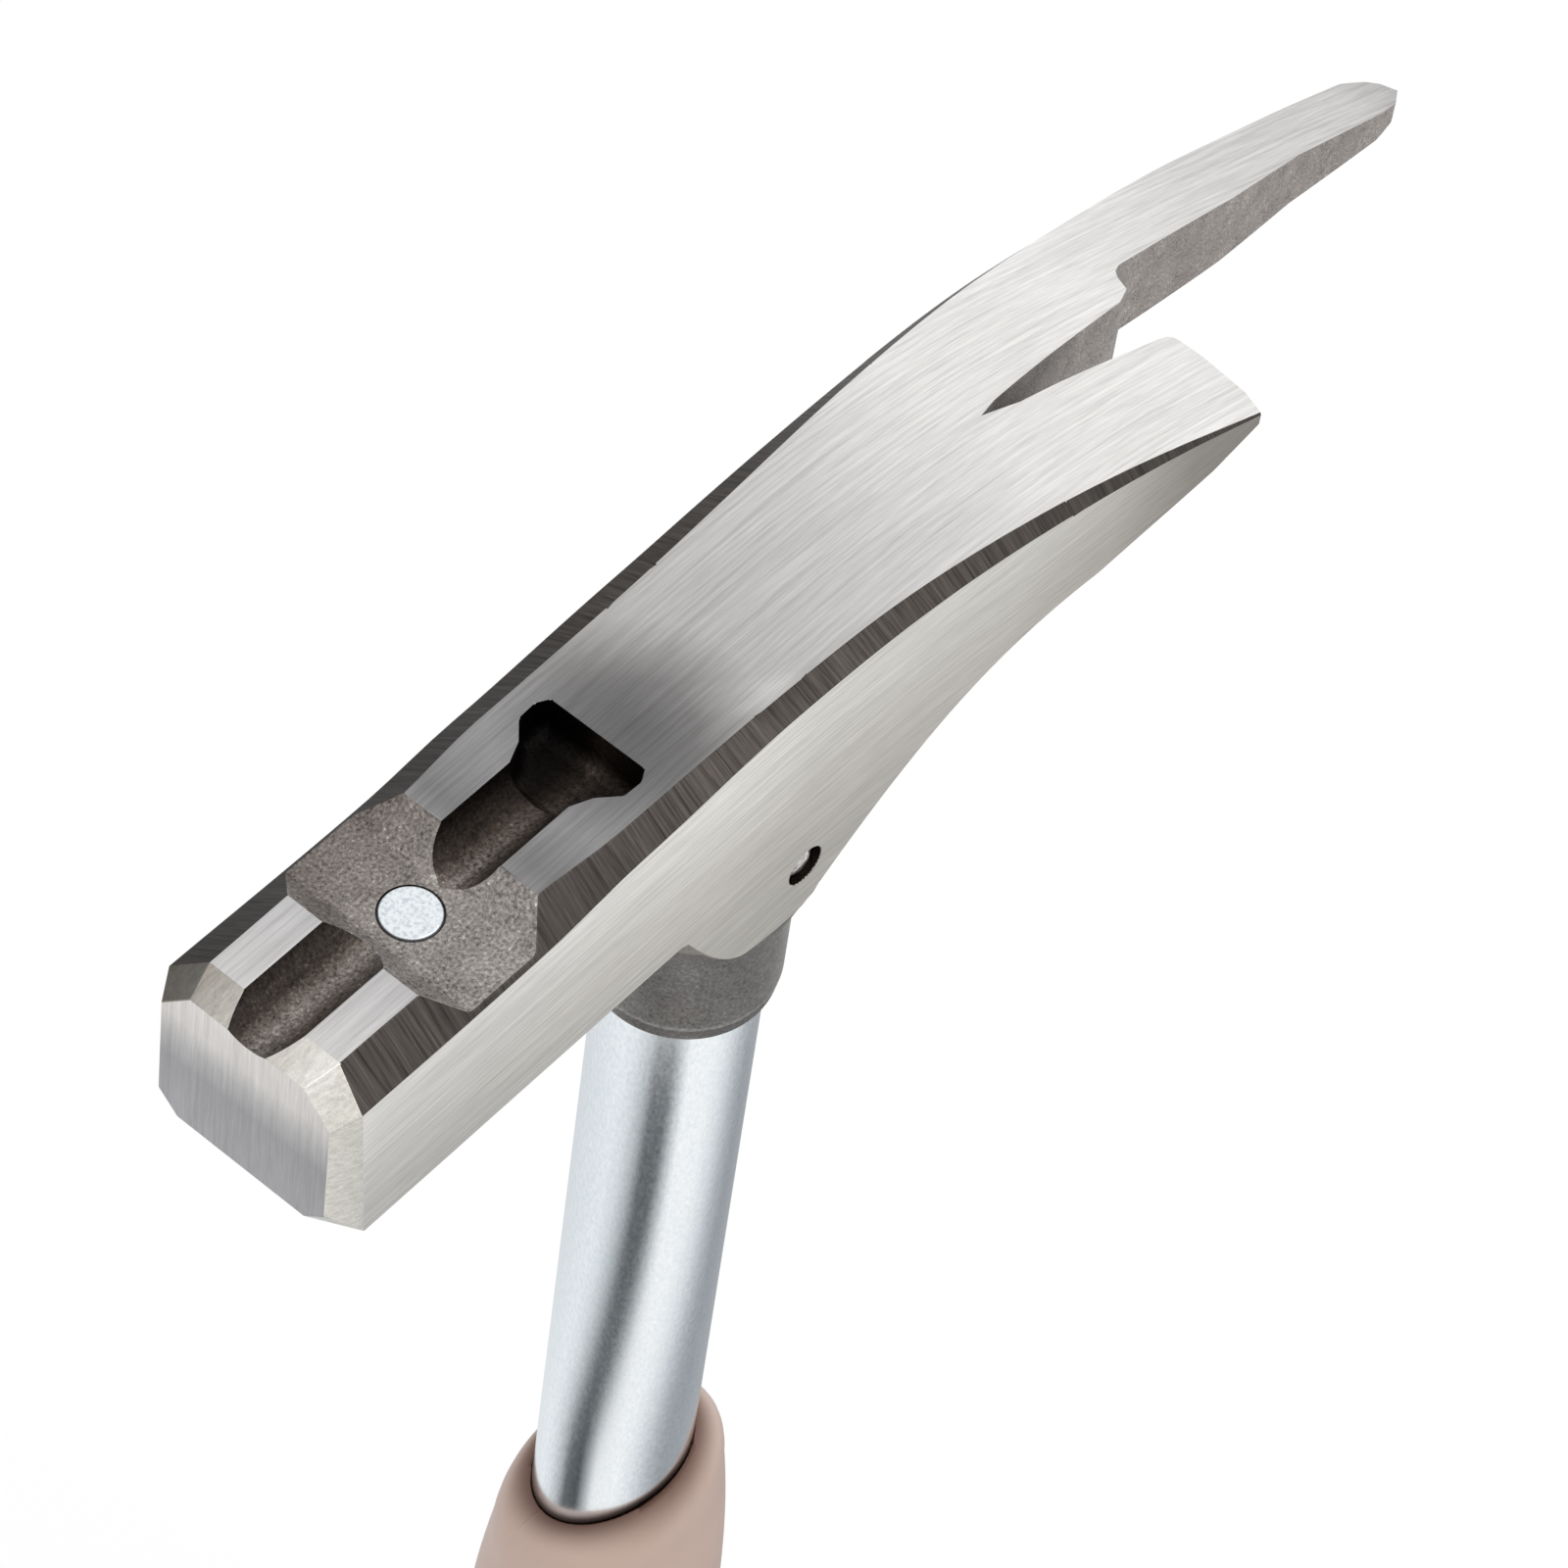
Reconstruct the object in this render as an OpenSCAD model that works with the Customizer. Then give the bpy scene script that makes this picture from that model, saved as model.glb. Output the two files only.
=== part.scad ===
/* [Head] */
// Tube axis to the striking face
face_reach = 69.3; // [66:0.1:72]
// Tube axis to the tip of the long claw
spike_reach = 139.5; // [132:0.5:147]
// Tube axis to the edge of the short claw
claw_reach = 70.3; // [68:0.1:72]
// Width of the head behind the striking face
head_w = 24.8; // [24:0.1:26]
// Height of the head behind the striking face
head_h = 26.2; // [25:0.1:27.5]
// Radius of the curve along the top, from the tube to the claws
claw_arc_r = 162; // [150:1:180]
// Radius of the flatter curve along the top of the long claw
spike_arc_r = 1300; // [1000:50:1800]
// Radius of the round collar under the head
collar_r = 10.6; // [10.4:0.1:11.2]
// Top of the head down to the collar's lower rim
collar_drop = 57.7; // [56:0.1:60]

/* [Nail holder] */
// Diameter of the magnet
magnet_d = 6.3; // [5.8:0.1:6.8]
// Thickness of the magnet
magnet_t = 4; // [3:0.5:5]
// Thickness of the adhesive round and under the magnet
bond_t = 0.25; // [0.2:0.05:0.3]
// Depth of the cross recess that holds the magnet
recess_depth = 3.2; // [2.8:0.1:3.6]
// Depth of the nail groove at the face
groove_depth = 1.8; // [1.5:0.1:2.2]
// Depth of the pocket for the nail's head
pocket_depth = 5; // [4.8:0.1:5.6]

/* [Handle] */
// Height of the hammer standing on its butt
total_len = 320; // [310:1:330]
// Outer diameter of the tube
tube_d = 18; // [17:0.1:18.5]
// Wall of the tube
tube_wall = 2; // [1.5:0.25:2.5]
// Diameter of the cross pin
pin_d = 4.8; // [4.4:0.1:5.2]
// Depth of the grip, front to back, at the butt
grip_depth = 38; // [36:0.5:40]
// Width of the grip, side to side, at the butt
grip_width = 30; // [28:0.5:32]
// Solid floor of the grip below the tube
grip_floor = 4; // [3:0.5:6]

/* [Hidden] */
$fn = 96;

tube_r = tube_d / 2;
magnet_r = magnet_d / 2;
pin_r = pin_d / 2;
head_top = total_len;
head_len = face_reach + spike_reach;

// The socket, the pin and what fills the tube
crown_t = 0.6 * head_h;
socket_top = head_top - crown_t;
pin_x = 0.06 * head_w;
pin_z = head_top - 1.17 * head_h;
pin_half = 0.488 * head_w;
core_len = 1.35 * head_h;
plug_len = 0.8 * tube_d;

// The collar and the round shoulder above it
collar_bottom = head_top - collar_drop;
collar_top = collar_bottom + 0.24 * collar_drop;
rim_r = 0.965 * collar_r;
rim_h = 0.042 * collar_drop;
shoulder_z = head_top - 0.67 * collar_drop;
shoulder_r = 1.15 * collar_r;
boss_half = 0.484 * head_w;
front_flare_shares = [[1.2, 0.666], [1.43, 0.615], [1.6, 0.555], [1.72, 0.485], [1.82, 0.44]];
back_flare_shares = [[1.2, 0.66], [1.25, 0.63], [1.33, 0.6], [1.44, 0.567], [1.6, 0.537], [1.77, 0.511],
                     [2.06, 0.46], [2.7, 0.39]];

// The magnet's seat
magnet_x = -0.67 * face_reach;
magnet_top = head_top - 0.94 * recess_depth;
seat_r = magnet_r + bond_t;
seat_bottom = magnet_top - magnet_t - bond_t;

// The cuts in the top
recess_top_half = 0.12 * face_reach;
recess_floor_half = 0.068 * face_reach;
groove_r = 0.2 * head_w;
rear_groove_r = 0.153 * head_w;
pocket_front = -0.41 * face_reach;
pocket_back = -0.285 * face_reach;
pocket_half = 0.268 * head_w;
pocket_neck = 0.15 * head_w;
over = 0.5 * head_w;

// Sides, edges and underside of the head, as knots of place, size and slope. Edges and underside are
// measured from the top, so that they follow its curve.
side_knots = [for (s = [[-0.4, 0.5, 0], [-0.05, 0.49, 0], [0.16, 0.557, 0.07], [0.33, 0.653, 0.055],
                        [0.5, 0.722, 0.01], [0.6, 0.737, 0.004], [0.67, 0.737, 0]]) knot(s, head_w)];
flat_knots = [for (s = [[-0.34, 0.167, 0], [-0.19, 0.15, -0.02], [-0.13, 0.113, -0.01], [0.04, 0.092, -0.02],
                        [0.16, 0.056, -0.03], [0.335, 0.006, -0.02], [0.67, 0.004, 0]]) knot(s, head_w)];
drop_knots = [for (s = [[-0.34, 0.13, 0.005], [-0.19, 0.137, -0.03], [-0.13, 0.09, -0.01], [-0.02, 0.045, 0],
                        [0.16, 0.05, -0.01], [0.335, 0.01, -0.01], [0.67, 0.004, 0]]) knot(s, head_h)];
under_knots = [for (s = [[-0.34, -0.93, -0.015], [-0.087, -0.965, -0.01], [-0.082, -0.985, -1.6],
                         [-0.04, -1.41, -0.7], [-0.02, -1.455, -0.1], [0.008, -1.455, 0.15], [0.0145, -1.43, 0.82],
                         [0.098, -0.922, 0.645], [0.22, -0.527, 0.24], [0.393, -0.42, 0.049],
                         [0.637, -0.169, 0.208], [0.668, -0.07, 0.435]]) knot(s, head_h)];
foot_knots = [for (s = [[-0.34, 0.07, 0], [-0.1, 0.07, 0], [-0.082, 0.02, 0], [0.0145, 0.02, 0], [0.12, 0.05, 0],
                        [0.4, 0.03, 0], [0.67, 0.006, 0]]) knot(s, head_h)];

// The striking face, in from the sides and the top
face_half = 0.434 * head_w;
face_flat_half = 0.29 * head_w;
face_foot_half = 0.33 * head_w;
face_top = -0.046 * head_h;
face_side_top = -0.195 * head_h;
face_side_bottom = -0.73 * head_h;
face_bottom = -0.823 * head_h;
bevel_len = 0.055 * face_reach;
station_step = head_len / 80;
body_start = bevel_len - face_reach;
bevel_lean_shares = [0, -0.016, 0.005, 0.03, 0.03, 0.005, -0.016, 0];
station_shares = [body_start / head_len, -0.087, -0.082, -0.04, 0.008, 0.0145, 0.098, spike_reach / head_len];

// The grip
grip_mouth = head_top - 2.7 * collar_drop;
mouth_tilt_x = 0.55;
mouth_tilt_y = -0.6;
nose_len = 0.055 * grip_mouth;
nose_r = 0.85 * tube_r;
grip_rings = 26;
grip_sides = 36;
butt_round = 0.025 * grip_mouth;

function knot(s, size) = [s[0] * head_len, s[1] * size, s[2]];
function span_of(k, x, i = 0) = i >= len(k) - 2 || x < k[i + 1][0] ? i : span_of(k, x, i + 1);
function blend(a, b, x) =
    let (d = b[0] - a[0], t = min(max((x - a[0]) / d, 0), 1), u = t * t * (3 - 2 * t))
    a[1] * (1 - u) + b[1] * u + d * t * (1 - t) * (a[2] * (1 - t) - b[2] * t);
function curve(k, x) = let (i = span_of(k, x)) blend(k[i], k[i + 1], x);

// How far the top has curved down at a place along the head
arc_start = 0.025 * head_len;
arc_join = 0.287 * head_len;
join_sine = (arc_join - arc_start) / claw_arc_r;
join_drop = claw_arc_r * (1 - cos(asin(join_sine)));
function top_drop(x) =
    x < arc_start ? 0 :
    x < arc_join ? claw_arc_r * (1 - cos(asin((x - arc_start) / claw_arc_r))) :
    join_drop + spike_arc_r * (cos(asin(join_sine)) - cos(asin(join_sine + (x - arc_join) / spike_arc_r)));

// One eight-sided outline across the head
function bevel_ring() =
    let (r = body_ring(body_start)) [for (i = [0:7]) r[i] + [bevel_lean_shares[i] * face_reach, 0, 0]];
function body_ring(x) =
    let (w = curve(side_knots, x),
         top = head_top - top_drop(x),
         flat_half = w - curve(flat_knots, x),
         edge = top - curve(drop_knots, x),
         side_low = top + curve(under_knots, x),
         foot = curve(foot_knots, x))
    [[x, flat_half, top], [x, w, edge], [x, w, side_low], [x, w - foot, side_low - foot],
     [x, foot - w, side_low - foot], [x, -w, side_low], [x, -w, edge], [x, -flat_half, top]];
face_ring = [for (p = [[face_flat_half, face_top], [face_half, face_side_top], [face_half, face_side_bottom],
                       [face_foot_half, face_bottom], [-face_foot_half, face_bottom],
                       [-face_half, face_side_bottom], [-face_half, face_side_top], [-face_flat_half, face_top]])
             [-face_reach, p[0], head_top + p[1]]];

// Closes a stack of rings that all have the same number of points
module skin(rings) {
    sides = len(rings[0]);
    last = (len(rings) - 1) * sides;
    polyhedron(
        points = [for (r = rings) each r],
        faces = [[for (j = [sides - 1:-1:0]) j],
                 for (i = [0:len(rings) - 2], j = [0:sides - 1])
                     each [[i * sides + j, i * sides + (j + 1) % sides, (i + 1) * sides + (j + 1) % sides],
                           [i * sides + j, (i + 1) * sides + (j + 1) % sides, (i + 1) * sides + j]],
                 [for (j = [0:sides - 1]) last + j]]);
}

module head_body() {
    skin([face_ring, bevel_ring(),
          for (i = [0:len(station_shares) - 2])
              let (a = station_shares[i] * head_len, b = station_shares[i + 1] * head_len,
                   count = ceil((b - a) / station_step))
              for (k = [1:count]) body_ring(a + (b - a) * k / count)]);
}

// The forged shoulder, flaring from the collar up to the underside of the head
module flare(shares, start, length) {
    intersection() {
        rotate_extrude()
            polygon([[0, shoulder_z],
                     [shoulder_r, shoulder_z],
                     for (s = shares) [s[0] * collar_r, head_top - s[1] * collar_drop],
                     [0, head_top - shares[len(shares) - 1][1] * collar_drop]]);
        translate([start, -boss_half, collar_bottom])
            cube([length, 2 * boss_half, collar_drop]);
    }
}

module boss() {
    reach = 2 * head_w;
    flare(front_flare_shares, -reach, reach);
    flare(back_flare_shares, 0, reach);
}

module collar() {
    rotate_extrude()
        polygon([[0, collar_bottom], [rim_r, collar_bottom], [collar_r, collar_bottom + rim_h],
                 [collar_r, collar_top], [shoulder_r, shoulder_z], [shoulder_r, shoulder_z + rim_h],
                 [0, shoulder_z + rim_h]]);
}

// Everything outside the two claws, seen from above
module claw_gap() {
    spike_in = [[0.521, 0.218], [0.527, 0.29], [0.542, 0.343], [0.644, 0.38], [0.711, 0.4],
                [0.823, 0.46], [0.953, 0.484], [0.98, 0.508]];
    tip = [[0.999, 0.57], [0.992, 0.645], [0.98, 0.69], [0.962, 0.722], [0.935, 0.76]];
    claw_end = [[0.965, -0.66], [0.987, -0.52], [1, -0.28], [1.003, -0.16], [0.998, -0.11], [0.98, -0.085]];
    translate([0, 0, collar_bottom])
        linear_extrude(collar_drop + over)
            polygon([[0.292 * spike_reach, 0.03 * head_w],
                     [0.314 * spike_reach, 0.057 * head_w],
                     [0.406 * spike_reach, 0.113 * head_w],
                     [0.501 * spike_reach, 0.173 * head_w],
                     for (s = spike_in) [s[0] * spike_reach, s[1] * head_w],
                     for (s = tip) [s[0] * spike_reach, s[1] * head_w],
                     [0.935 * spike_reach, head_w],
                     [1.05 * spike_reach, head_w],
                     [1.05 * spike_reach, -head_w],
                     [0.97 * claw_reach, -head_w],
                     for (s = claw_end) [s[0] * claw_reach, s[1] * head_w],
                     [0.33 * spike_reach, -0.016 * head_w]]);
}

// The short claw is ground thinner from below, to a chisel edge
module claw_undercut() {
    below = [[0.52, -0.775], [0.7, -0.7], [0.87, -0.63], [0.965, -0.545], [1.025, -0.49], [1.025, -2], [0.52, -2]];
    translate([0, 0.035 * head_w, head_top])
        rotate([90, 0, 0])
            linear_extrude(head_w)
                polygon([for (s = below) [s[0] * claw_reach, s[1] * head_h]]);
}

// The recess runs across the head, with sloping front and rear walls
module recess() {
    rise = over / recess_depth;
    slope = (recess_top_half - recess_floor_half) * rise;
    translate([magnet_x, head_w, head_top])
        rotate([90, 0, 0])
            linear_extrude(2 * head_w)
                polygon([[-recess_floor_half, -recess_depth], [recess_floor_half, -recess_depth],
                         [recess_top_half, 0], [recess_top_half + slope, over],
                         [-recess_top_half - slope, over], [-recess_top_half, 0]]);
}

module nail_groove() {
    translate([-face_reach - over, 0, head_top + groove_r - groove_depth])
        rotate([0, 90, 0])
            cylinder(r = groove_r, h = face_reach + over + magnet_x);
    translate([magnet_x, 0, head_top + rear_groove_r - recess_depth])
        rotate([0, 90, 0])
            cylinder(r = rear_groove_r, h = pocket_front - magnet_x + rear_groove_r);
}

module head_pocket() {
    length = pocket_back - pocket_front;
    outline = [[0, 1], [0.3, 1.3], [0.6, pocket_half / pocket_neck], [0.85, pocket_half / pocket_neck],
               [1, 1.6], [1, -1.6], [0.85, -pocket_half / pocket_neck], [0.6, -pocket_half / pocket_neck],
               [0.3, -1.3], [0, -1]];
    translate([0, 0, head_top - pocket_depth])
        linear_extrude(pocket_depth + over)
            polygon([for (s = outline) [pocket_front + s[0] * length, s[1] * pocket_neck]]);
}

module head() {
    color("silver")
        difference() {
            union() {
                head_body();
                boss();
                collar();
            }
            claw_gap();
            claw_undercut();
            recess();
            nail_groove();
            head_pocket();
            translate([magnet_x, 0, seat_bottom])
                cylinder(r = seat_r, h = magnet_t + over);
            translate([0, 0, collar_bottom - over])
                cylinder(r = tube_r, h = socket_top - collar_bottom + over);
            translate([pin_x, head_w, pin_z])
                rotate([90, 0, 0])
                    cylinder(r = pin_r, h = 2 * head_w);
        }
}

module nail_magnet() {
    color("lightsteelblue")
        translate([magnet_x, 0, magnet_top - magnet_t])
            cylinder(r = magnet_r, h = magnet_t);
}

module magnet_bond() {
    color("dimgray")
        difference() {
            translate([magnet_x, 0, seat_bottom])
                cylinder(r = seat_r, h = head_top - recess_depth - seat_bottom);
            translate([magnet_x, 0, magnet_top - magnet_t])
                cylinder(r = magnet_r, h = magnet_t + over);
        }
}

module handle_tube() {
    color("gainsboro")
        difference() {
            translate([0, 0, grip_floor])
                cylinder(r = tube_r, h = socket_top - grip_floor);
            translate([0, 0, grip_floor - over])
                cylinder(r = tube_r - tube_wall, h = socket_top - grip_floor + 2 * over);
            translate([pin_x, head_w, pin_z])
                rotate([90, 0, 0])
                    cylinder(r = pin_r, h = 2 * head_w);
        }
}

module cross_pin() {
    color("gray")
        translate([pin_x, pin_half, pin_z])
            rotate([90, 0, 0])
                cylinder(r = pin_r, h = 2 * pin_half);
}

module socket_core() {
    color("burlywood")
        difference() {
            translate([0, 0, socket_top - core_len])
                cylinder(r = tube_r - tube_wall, h = core_len);
            translate([pin_x, head_w, pin_z])
                rotate([90, 0, 0])
                    cylinder(r = pin_r, h = 2 * head_w);
        }
}

module tube_end_plug() {
    color("black")
        translate([0, 0, grip_floor])
            cylinder(r = tube_r - tube_wall, h = plug_len);
}

// Half sizes of the grip up its length, front to back and side to side
depth_knots = [for (s = [[0, 0.49, 0], [0.07, 0.5, 0], [0.33, 0.435, -0.02], [0.66, 0.45, 0], [0.85, 0.432, -0.07],
                         [1, 0.335, -0.2]]) [s[0] * grip_mouth, s[1] * grip_depth, s[2]]];
width_knots = [for (s = [[0, 0.49, 0], [0.07, 0.5, 0], [0.33, 0.44, -0.01], [0.66, 0.465, 0], [0.85, 0.45, -0.05],
                         [1, 0.37, -0.15]]) [s[0] * grip_mouth, s[1] * grip_width, s[2]]];
function mouth_rise(a) = tube_r * (mouth_tilt_x * cos(a) + mouth_tilt_y * sin(a));
function tilt_share(h) = let (t = min(max(h / grip_mouth * 3 - 2, 0), 1)) t * t * (3 - 2 * t);
function grip_ring(h, inset) =
    [for (j = [0:grip_sides - 1])
        let (a = -360 * j / grip_sides,
             x = (curve(depth_knots, h) - inset) * cos(a),
             y = (curve(width_knots, h) - inset) * sin(a))
        [x, y, h + tilt_share(h) * mouth_rise(a)]];
function mouth_ring(turn) =
    [for (j = [0:grip_sides - 1])
        let (a = -360 * j / grip_sides,
             start = grip_mouth - nose_len,
             x = mix(nose_r, curve(depth_knots, start), cos(turn)) * cos(a),
             y = mix(nose_r, curve(width_knots, start), cos(turn)) * sin(a))
        [x, y, start + nose_len * sin(turn) + tilt_share(start) * mouth_rise(a)]];
function mix(a, b, t) = a + (b - a) * t;

module grip() {
    rise = grip_mouth - nose_len - butt_round;
    color("rosybrown")
        difference() {
            skin([for (turn = [0, 30, 60]) grip_ring(butt_round * (1 - cos(turn)), butt_round * (1 - sin(turn))),
                  for (i = [0:grip_rings]) grip_ring(butt_round + rise * i / grip_rings, 0),
                  for (turn = [15:15:90]) mouth_ring(turn)]);
            translate([0, 0, grip_floor])
                cylinder(r = tube_r, h = grip_mouth + over);
        }
}

head();
nail_magnet();
magnet_bond();
handle_tube();
cross_pin();
socket_core();
tube_end_plug();
grip();
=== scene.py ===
import math

import bmesh
import bpy
from mathutils import Matrix, Vector


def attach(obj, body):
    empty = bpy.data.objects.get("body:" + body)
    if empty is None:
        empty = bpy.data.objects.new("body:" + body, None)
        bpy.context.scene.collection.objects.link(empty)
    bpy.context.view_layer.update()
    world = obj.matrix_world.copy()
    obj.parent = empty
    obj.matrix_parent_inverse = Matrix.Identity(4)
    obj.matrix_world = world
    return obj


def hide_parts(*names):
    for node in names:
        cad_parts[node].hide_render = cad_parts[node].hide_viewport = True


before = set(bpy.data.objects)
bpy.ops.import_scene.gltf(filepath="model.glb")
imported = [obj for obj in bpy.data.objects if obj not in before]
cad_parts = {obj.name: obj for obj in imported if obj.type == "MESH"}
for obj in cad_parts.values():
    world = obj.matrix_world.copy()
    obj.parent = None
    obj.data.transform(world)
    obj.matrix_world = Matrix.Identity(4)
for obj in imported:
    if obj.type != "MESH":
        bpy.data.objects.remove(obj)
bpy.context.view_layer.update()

# Head
# One drop forging in carbon steel: striking face, nail holder, two claws and the collar that takes the tube.
# The top, the sides and the striking end are ground bright, the long edges are ground across and left dark,
# and the nail holder, the claws' inner walls and the collar keep the grain of the forging.

# Sizes are in millimetres, and new_piece turns them into metres
HEAD_TOP = 320.0
FACE_X = -69.3
TIP_X = 139.5
COLLAR_R = 10.6
COLLAR_FOOT = HEAD_TOP - 57.7
COLLAR_RIM = 2.4
SHOULDER_RISE = 19.0
TUBE_R = 9.0
SOCKET_TOP = HEAD_TOP - 15.7
RECESS_DEPTH = 3.2
MAGNET_X = -46.4
MAGNET_R = 3.15
SEAT_R = MAGNET_R + 0.25
SEAT_FLOOR = HEAD_TOP - 7.26
PIN_X = 1.49
PIN_Z = HEAD_TOP - 30.65
PIN_HOLE_R = 2.4
HARD_TURN = math.radians(26)
GROUND_TOP, EDGE, SIDE, BEVEL, FACE, FORGED, GROOVE, CLAW_WALL, COLLAR, UNDER = range(10)


def linear(code):
    """An sRGB hex colour as linear red, green, blue and alpha."""
    shares = [int(code[i:i + 2], 16) / 255 for i in (1, 3, 5)]
    return [s / 12.92 if s <= 0.04045 else ((s + 0.055) / 1.055) ** 2.4 for s in shares] + [1.0]


def node(tree, kind, inputs=(), **settings):
    """Adds a shader node, sets its settings, and gives its inputs values or links."""
    made = tree.nodes.new("ShaderNode" + kind)
    for name, value in settings.items():
        setattr(made, name, value)
    for name, value in dict(inputs).items():
        if isinstance(value, bpy.types.NodeSocket):
            tree.links.new(value, made.inputs[name])
        else:
            made.inputs[name].default_value = value
    return made


def new_material(name):
    """An empty material, its node tree and its output node."""
    made = bpy.data.materials.new(name)
    made.use_nodes = True
    made.node_tree.nodes.clear()
    return made, made.node_tree, made.node_tree.nodes.new("ShaderNodeOutputMaterial")


def per_metre(sizes_mm):
    """The scale at which one pattern cell has these sizes along X, Y and Z."""
    return [1000.0 / size for size in sizes_mm]


def ramp(tree, factor, stops):
    """Colours by place along a range of 0 to 1."""
    made = node(tree, "ValToRGB", {"Fac": factor})
    while len(made.color_ramp.elements) < len(stops):
        made.color_ramp.elements.new(0.5)
    for element, (place, code) in zip(made.color_ramp.elements, stops):
        element.position = place
        element.color = linear(code)
    return made.outputs["Color"]


def darkened(tree, colour, tone):
    """One colour multiplied by another."""
    made = node(tree, "Mix", data_type="RGBA", blend_type="MULTIPLY")
    made.inputs["Factor"].default_value = 1.0
    tree.links.new(colour, made.inputs["A"])
    tree.links.new(tone, made.inputs["B"])
    return made.outputs["Result"]


def shaded(tree, place, colour, guide, low_mm, high_mm, stops):
    """Darkens a colour by place along an axis, or by the distance from a point, to paint shade and
    highlights, or a change of finish.
    """
    if guide in ("X", "Y", "Z"):
        along = node(tree, "SeparateXYZ", {"Vector": place}).outputs[guide]
    else:
        centre = [size / 1000 for size in guide]
        along = node(tree, "VectorMath", {0: place, 1: centre}, operation="DISTANCE").outputs["Value"]
    share = node(tree, "MapRange", {"Value": along, "From Min": low_mm / 1000, "From Max": high_mm / 1000})
    return darkened(tree, colour, ramp(tree, share.outputs["Result"], stops))


def ground_steel(name, dark, light, line_mm, rough, relief_mm, shades=()):
    """Belt-ground steel: long fine scratches in one direction, pale where fresh, satin to the eye."""
    made, tree, out = new_material(name)
    place = node(tree, "TexCoord").outputs["Object"]
    band_mm = [3.5 * size for size in line_mm]
    fine = node(tree, "Mapping", {"Vector": place, "Scale": per_metre(line_mm)}).outputs["Vector"]
    wide = node(tree, "Mapping", {"Vector": place, "Scale": per_metre(band_mm)}).outputs["Vector"]
    lines = node(tree, "TexNoise", {"Vector": fine, "Scale": 1.0, "Detail": 3.0, "Roughness": 0.65})
    bands = node(tree, "TexNoise", {"Vector": wide, "Scale": 1.0, "Detail": 2.0, "Roughness": 0.5})
    both = node(tree, "Math", {0: lines.outputs["Fac"], 1: bands.outputs["Fac"]}, operation="ADD")
    grain = node(tree, "MapRange", {"Value": both.outputs["Value"], "From Min": 0.7, "From Max": 1.3})
    colour = ramp(tree, grain.outputs["Result"], [(0.0, dark), (1.0, light)])
    for guide, low, high, stops in shades:
        colour = shaded(tree, place, colour, guide, low, high, stops)
    matt = node(tree, "MapRange", {"Value": lines.outputs["Fac"], "To Min": rough + 0.08,
                                   "To Max": rough - 0.08})
    bump = node(tree, "Bump", {"Height": lines.outputs["Fac"], "Strength": 0.5,
                               "Distance": relief_mm / 1000})
    steel = node(tree, "BsdfPrincipled", {"Base Color": colour, "Metallic": 1.0,
                                          "Roughness": matt.outputs["Result"],
                                          "Normal": bump.outputs["Normal"]})
    tree.links.new(steel.outputs["BSDF"], out.inputs["Surface"])
    return made


def forged_steel(name, dark, light, rubbed, grain_mm, rough, relief_mm, shades=()):
    """Steel as it left the die: dark scale with a fine pitted grain and paler rubbed grains."""
    made, tree, out = new_material(name)
    place = node(tree, "TexCoord").outputs["Object"]
    cell = node(tree, "Mapping", {"Vector": place, "Scale": per_metre([grain_mm] * 3)}).outputs["Vector"]
    pits = node(tree, "TexNoise", {"Vector": cell, "Scale": 1.0, "Detail": 4.0,
                                   "Roughness": 0.7}).outputs["Fac"]
    cloud = node(tree, "TexNoise", {"Vector": cell, "Scale": 0.1, "Detail": 2.0}).outputs["Fac"]
    both = node(tree, "Math", {0: cloud, 1: 0.25, 2: pits}, operation="MULTIPLY_ADD").outputs["Value"]
    grain = node(tree, "MapRange", {"Value": both, "From Min": 0.42, "From Max": 0.85}).outputs["Result"]
    colour = ramp(tree, grain, [(0.0, dark), (0.8, light), (1.0, rubbed)])
    for guide, low, high, stops in shades:
        colour = shaded(tree, place, colour, guide, low, high, stops)
    bump = node(tree, "Bump", {"Height": pits, "Strength": 0.8, "Distance": relief_mm / 1000})
    steel = node(tree, "BsdfPrincipled", {"Base Color": colour, "Metallic": 0.85, "Roughness": rough,
                                          "Normal": bump.outputs["Normal"]})
    tree.links.new(steel.outputs["BSDF"], out.inputs["Surface"])
    return made


# Painted shade and highlights on the head, and the striking face's paler upper band of finish: an axis or a
# point, the range along it, and the tone at shares of that range
# Painted light and shade along the top: darker behind the nail holder, palest where the top curves down to
# the claws
top_painted_shade = ("X", -70, 140, [(0.0, "#e4e4e4"), (0.06, "#d4d4d6"), (0.13, "#acacae"), (0.162, "#8a8a8c"),
                             (0.19, "#9e9ea0"), (0.22, "#a6a6a8"), (0.26, "#b0b0b0"), (0.285, "#c0c0c0"),
                             (0.32, "#c8c8c8"), (0.43, "#e0e0e0"), (0.51, "#f8f8f8"),
                             (0.64, "#ffffff"), (0.8, "#e9e9e9"), (0.95, "#dedede"), (1.0, "#c2c2c2")])
# Painted shadow: a soft dark patch round the far end of the nail pocket
painted_shadow_by_pocket = ((-17, -2, 320), 0, 14, [(0.0, "#a8a8a9"), (0.45, "#bcbcbd"), (1.0, "#ffffff")])
# Painted shade on the sides: darker towards the claws
side_painted_shade_along = ("X", -70, 70, [(0.0, "#ffffff"), (0.25, "#fcfcfb"), (0.4, "#f4f4f2"), (0.5, "#e6e6e4"),
                             (0.72, "#dcdcda"), (0.82, "#c8c6c3"), (0.91, "#98948f"), (1.0, "#8c8883")])
# Painted shade on the sides: darker towards their foot
side_painted_shade_down = ("Z", 290, 316, [(0.0, "#d4d2d0"), (0.5, "#e8e6e4"), (1.0, "#ffffff")])
down_face = ("Z", 298, 318, [(0.0, "#b8b9bd"), (0.48, "#b0b1b5"), (0.66, "#cccccd"), (0.82, "#eeecea"),
                             (1.0, "#f4f2f0")])
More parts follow.
